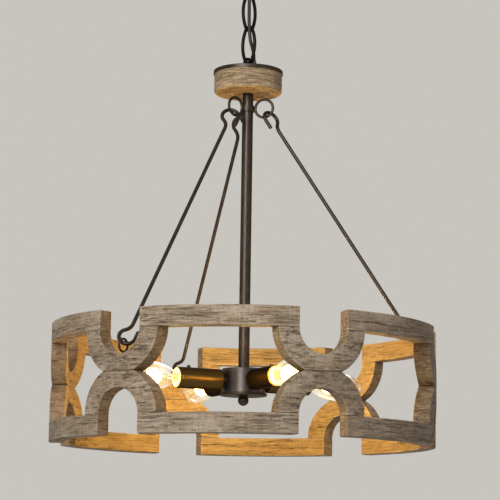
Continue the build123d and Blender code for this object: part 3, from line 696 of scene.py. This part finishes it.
def tube(shape, points, radius, sides):
    """Round tube along points, with its ends closed."""
    rows = []
    across = None
    for index, point in enumerate(points):
        before = points[max(index - 1, 0)]
        after = points[min(index + 1, len(points) - 1)]
        along = (after - before).normalized()
        if across is None:
            across = along.orthogonal().normalized()
        across = (across - along * across.dot(along)).normalized()
        other = along.cross(across)
        row = []
        for angle in angles(sides):
            spoke = across * math.cos(angle) + other * math.sin(angle)
            row.append(shape.verts.new(point + spoke * radius))
        rows.append(row)
    closed_skin(shape, rows)


def bezier(points, count):
    """Points along a cubic Bezier curve, without its last one."""
    line = []
    for step in range(count):
        t = step / count
        weights = ((1 - t) ** 3, 3 * t * (1 - t) ** 2, 3 * t * t * (1 - t), t**3)
        line.append(tuple(sum(w * p[axis] for w, p in zip(weights, points)) for axis in range(2)))
    return line


def socket_place(azimuth):
    """Local frame of a socket: x along its axis from the stem, z up."""
    along = outward(azimuth)
    up = Vector((0.0, 0.0, 1.0))
    turn = Matrix((along, up.cross(along), up)).transposed().to_4x4()
    return Matrix.Translation((0.0, 0.0, SOCKET_Z)) @ turn


# Candle bulbs
def moved(outline, along):
    """An outline or route further along the axis."""
    return [(point[0] + along, *point[1:]) for point in outline]


def glass_line(wall):
    """Outline of the glass from its neck to its tip, inside the outer one by a wall."""
    belly = BULB_R - wall
    length = BULB_LENGTH - wall
    widest = BULB_LENGTH * WIDEST_RATIO
    neck_along, neck_radius = FLANK_NECK_RATIOS
    flank = (
        (0.0, BASE_R - wall),
        (widest * neck_along, belly * neck_radius),
        (widest * FLANK_BELLY_RATIO, belly),
        (widest, belly),
    )
    crown = (
        (widest, belly),
        (widest + (length - widest) * CROWN_BELLY_RATIO, belly),
        (length, belly * CROWN_TIP_RATIO),
        (length, 0.0),
    )
    return moved(bezier(flank, CURVE_STEPS) + bezier(crown, CURVE_STEPS) + [(length, 0.0)], SOCKET_FRONT)


def glass_shell(shape, place):
    """Hollow glass, open at its neck, where a flat rim joins its two sides."""
    outer = glass_line(0.0)
    inner = glass_line(BULB_WALL)
    lathe(shape, place, [inner[0]] + outer, segments=64)
    lathe(shape, place, inner, segments=64)
    bmesh.ops.remove_doubles(shape, verts=shape.verts, dist=1e-6)


def screw_base(shape, place):
    """Metal shell with a rounded thread, which fades out towards both of its ends."""
    rows = []
    for index in range(BASE_RINGS + 1):
        share = index / BASE_RINGS
        along = BASE_BACK + BASE_LENGTH * share
        depth = THREAD_DEPTH * min(1.0, share / THREAD_START, (1.0 - share) / THREAD_END)
        row = []
        for angle in angles(BASE_SIDES):
            wave = 0.5 - 0.5 * math.cos(2.0 * math.pi * along / THREAD_PITCH - angle)
            row.append(shape.verts.new(place @ about_x(along, BASE_R - depth * wave, angle)))
        rows.append(row)
    closed_skin(shape, rows)


def contact(shape, place):
    """Round contact on the base's back."""
    lathe(shape, place, moved(CONTACT_OUTLINE, BASE_BACK), segments=24)


def hot_wire(shape, place):
    """Filament: a coiled wire bent into an open hoop round the bulb's axis."""
    points = []
    steps = FILAMENT_TURNS * FILAMENT_TURN_STEPS
    for step in range(steps + 1):
        share = step / steps
        sweep = math.radians(FILAMENT_HOOP_HALF * (2.0 * share - 1.0))
        coil = 2.0 * math.pi * FILAMENT_TURNS * share
        hoop = FILAMENT_HOOP_R + FILAMENT_COIL_R * math.cos(coil)
        along = FILAMENT_REACH + FILAMENT_COIL_R * math.sin(coil)
        points.append(place @ Vector((along, hoop * math.sin(sweep), hoop * math.cos(sweep))))
    tube(shape, points, FILAMENT_WIRE_R, sides=5)


def lead_wires(shape, place):
    """Two leads to the filament's ends, and the support that holds its middle up."""
    for side in (-1, 1):
        sweep = math.radians(FILAMENT_HOOP_HALF * side)
        end = (FILAMENT_REACH, FILAMENT_HOOP_R * math.sin(sweep), FILAMENT_HOOP_R * math.cos(sweep))
        route = [(along, side * across, up) for along, across, up in moved(LEAD_ROUTE, SOCKET_FRONT)]
        tube(shape, [place @ Vector(point) for point in route + [end]], LEAD_R, sides=8)
    support = [place @ Vector(point) for point in moved(SUPPORT_ROUTE, SOCKET_FRONT)]
    tube(shape, support, SUPPORT_R, sides=6)


def glass_post(shape, place):
    """Flared glass post in the neck."""
    lathe(shape, place, moved(POST_OUTLINE, SOCKET_FRONT), segments=24)


def warm_light(name, place):
    """Lamp at a filament."""
    lamp = bpy.data.lights.new(name, "POINT")
    lamp.energy = WARM_WATTS
    lamp.color = WARM_TONE
    lamp.shadow_soft_size = WARM_R
    thing = bpy.data.objects.new(name, lamp)
    thing.location = place
    bpy.context.scene.collection.objects.link(thing)
    return thing


for number, azimuth in enumerate(SOCKET_AZIMUTHS, 1):
    place = socket_place(azimuth)
    shell = mesh_object(f"bulb_{number}_shell", bulb_glass(f"glass_{number}", azimuth), glass_shell, place)
    base = mesh_object(f"bulb_{number}_base", BRASS, screw_base, place)
    tip = mesh_object(f"bulb_{number}_contact", LEAD, contact, place)
    wire = mesh_object(f"bulb_{number}_filament", FILAMENT, hot_wire, place)
    leads = mesh_object(f"bulb_{number}_leads", LEAD, lead_wires, place)
    post = mesh_object(f"bulb_{number}_post", POST_GLASS, glass_post, place)
    for piece in (shell, base, tip, wire, leads, post):
        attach(piece, f"bulb_{number}_body")
    # The glass, and what stands in it, lets the light out
    for piece in (shell, wire, leads, post):
        piece.visible_shadow = False
    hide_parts(f"bulb_{number}")
    light = warm_light(f"warm_light_{number}", place @ Vector((FILAMENT_REACH, 0.0, 0.0)))
    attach(light, f"bulb_{number}_body")


# Screws and the canopy's ring nut
def slotted_head(shape, centre, radius, height, half_slot):
    """Upright screw head: a round foot and two domed halves, with a straight slot between them."""
    upright = Matrix.Translation(centre) @ Matrix.Rotation(-math.pi / 2, 4, "Y")
    lathe(shape, upright, [(height * rise, radius * share) for rise, share in HEAD_FOOT], segments=40)
    for side in (-1, 1):
        rows = []
        for rise, share in HEAD_DOME:
            reach = radius * share
            limit = math.acos(half_slot / reach)
            row = []
            for step in range(DOME_STEPS + 1):
                angle = limit * (2.0 * step / DOME_STEPS - 1.0)
                spot = Vector((side * reach * math.cos(angle), side * reach * math.sin(angle), height * rise))
                row.append(shape.verts.new(centre + spot))
            rows.append(row)
        closed_skin(shape, rows)


def milled_ring(shape, inner, outer, bottom, top):
    """Ring round the stem's axis with bevelled edges and a milled rim."""
    rows = []
    for height, radius, depth in (
        (top, inner, 0.0),
        (bottom, inner, 0.0),
        (bottom, outer - 0.0016, 0.0),
        (bottom + 0.0007, outer - 0.0006, 0.0),
        (bottom + 0.0012, outer, MILLING_DEPTH),
        (top - 0.001, outer, MILLING_DEPTH),
        (top - 0.0004, outer - 0.0007, 0.0),
        (top, outer - 0.0012, 0.0),
    ):
        row = []
        for step, angle in enumerate(angles(MILLING_TEETH * len(TOOTH))):
            reach = radius - depth * TOOTH[step % len(TOOTH)]
            row.append(shape.verts.new((reach * math.cos(angle), reach * math.sin(angle), height)))
        rows.append(row)
    skin(shape, rows + rows[:1])


for number, azimuth in enumerate(SOCKET_AZIMUTHS, 1):
    reach = TUBE_END - SOCKET_SCREW_SETBACK
    seat = socket_place(azimuth) @ Vector((reach, 0.0, TUBE_R - SOCKET_SCREW_SINK))
    sizes = (seat, *SOCKET_SCREW_HEAD)
    screw = mesh_object(f"socket_screw_{number}", BRONZE, slotted_head, *sizes, smooth=False)
    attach(screw, "fixture")
    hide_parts("socket_screws")
for number, azimuth in enumerate(CAP_SCREW_AZIMUTHS, 1):
    seat = outward(azimuth) * CAP_SCREW_CIRCLE_R + Vector((0.0, 0.0, CAP_TOP_Z))
    sizes = (seat, *CAP_SCREW_HEAD)
    screw = mesh_object(f"cap_screw_{number}", BRONZE, slotted_head, *sizes, smooth=False)
    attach(screw, "fixture")
    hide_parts("cap_screws")
nut_low, nut_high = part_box("ring_nut")
sizes = (RING_NUT_BORE_R, nut_high.x, nut_low.z, nut_high.z)
ring = mesh_object("ring_nut_milled", BRONZE, milled_ring, *sizes, smooth=False)
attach(ring, "canopy_cover")
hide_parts("ring_nut")

# Supply cord: one line down the chain, in a piece for each joint that it crosses
ALONG_LOWER = outward(CHAIN_TURN + LINK_TURN)
ALONG_UPPER = outward(CHAIN_TURN - LINK_TURN)


def cord_points():
    """Points read from the NURBS line of the cord's route."""
    line = bpy.data.curves.new("cord_line", "CURVE")
    line.dimensions = "3D"
    line.resolution_u = CORD_RESOLUTION
    spline = line.splines.new("NURBS")
    spline.points.add(len(CORD_ROUTE) - 1)
    for point, (lower, upper, height) in zip(spline.points, CORD_ROUTE):
        spot = ALONG_LOWER * lower + ALONG_UPPER * upper + Vector((0.0, 0.0, height))
        point.co = (*spot, 1.0)
    spline.order_u = 3
    spline.use_endpoint_u = True
    holder = bpy.data.objects.new("cord_line", line)
    bpy.context.scene.collection.objects.link(holder)
    bpy.context.view_layer.update()
    mesh = bpy.data.meshes.new_from_object(holder)
    points = [vertex.co.copy() for vertex in mesh.vertices]
    bpy.data.objects.remove(holder)
    bpy.data.curves.remove(line)
    bpy.data.meshes.remove(mesh)
    return points


def cut_line(points, heights):
    """Stretches of a falling line of points, cut at heights. A cut's point is in both of its stretches."""
    stretches = []
    for height in heights:
        index = next(place for place, point in enumerate(points) if point.z <= height)
        first, second = points[index - 1], points[index]
        middle = first.lerp(second, (first.z - height) / (first.z - second.z))
        stretches.append(points[:index] + [middle])
        points = [middle] + points[index:]
    return stretches + [points]


cord_stretches = cut_line(cord_points(), CORD_CUTS)
for number, (stretch, bend) in enumerate(zip(cord_stretches, CORD_BENDS), 1):
    piece = mesh_object(f"supply_cord_{number}", CORD, tube, stretch, CORD_R, CORD_SIDES)
    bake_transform(piece)
    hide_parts("supply_cord")

# Camera
camera_data = bpy.data.cameras.new("camera")
camera_data.sensor_width = CAMERA_SENSOR
camera_data.lens = CAMERA_LENS
camera_data.shift_x = CAMERA_SHIFT
camera = bpy.data.objects.new("camera", camera_data)
camera.matrix_world = (
    Matrix.Translation(CAMERA_PLACE)
    @ Matrix.Rotation(math.radians(CAMERA_TURN), 4, "Z")
    @ Matrix.Rotation(math.radians(90.0 + CAMERA_PITCH), 4, "X")
    @ Matrix.Rotation(math.radians(CAMERA_ROLL), 4, "Z")
)
bpy.context.scene.collection.objects.link(camera)
bpy.context.scene.camera = camera


# Studio
def area_lamp(name, place, size, watts, tone):
    """Square soft lamp that points at the object."""
    lamp = bpy.data.lights.new(name, "AREA")
    lamp.size = size
    lamp.energy = watts
    lamp.color = tone
    thing = bpy.data.objects.new(name, lamp)
    thing.location = place
    thing.rotation_euler = (LAMP_TARGET - Vector(place)).to_track_quat("-Z", "Y").to_euler()
    bpy.context.scene.collection.objects.link(thing)


def seen_rays(tree):
    """1 on camera, glossy and transmission rays, and 0 on the light that falls on the object."""
    paths = tree.nodes.new("ShaderNodeLightPath").outputs
    seen = tree.math("MAXIMUM", paths["Is Camera Ray"], paths["Is Glossy Ray"])
    return tree.math("MAXIMUM", seen, paths["Is Transmission Ray"])


def floor_sheet(shape):
    """One square face."""
    corners = [(-1, -1), (1, -1), (1, 1), (-1, 1)]
    shape.faces.new([shape.verts.new((x * FLOOR_HALF, y * FLOOR_HALF, FLOOR_Z)) for x, y in corners])


for lamp_values in LAMPS:
    area_lamp(*lamp_values)

world = bpy.data.worlds.new("studio")
bpy.context.scene.world = world
sky = Nodes(world)
ambient = sky.add("ShaderNodeBackground", {"Color": AMBIENT_TONE, "Strength": AMBIENT_STRENGTH})
surround = sky.add("ShaderNodeBackground", {"Color": SURROUND_TONE})
choice = sky.add("ShaderNodeMixShader", {0: seen_rays(sky), 1: ambient, 2: surround})
sky.add("ShaderNodeOutputWorld", {"Surface": choice})

floor = Surface("pale_floor")
floor.set(
    Base_Color=floor.mix(floor.noise(floor.place(), scale=1.5, detail=3.0), *FLOOR_TONES),
    Roughness=0.9,
    Emission_Color=FLOOR_LIFT,
    Emission_Strength=seen_rays(floor),
)
mesh_object("floor", floor.material, floor_sheet, smooth=False)

bpy.context.scene.view_settings.view_transform = "Standard"
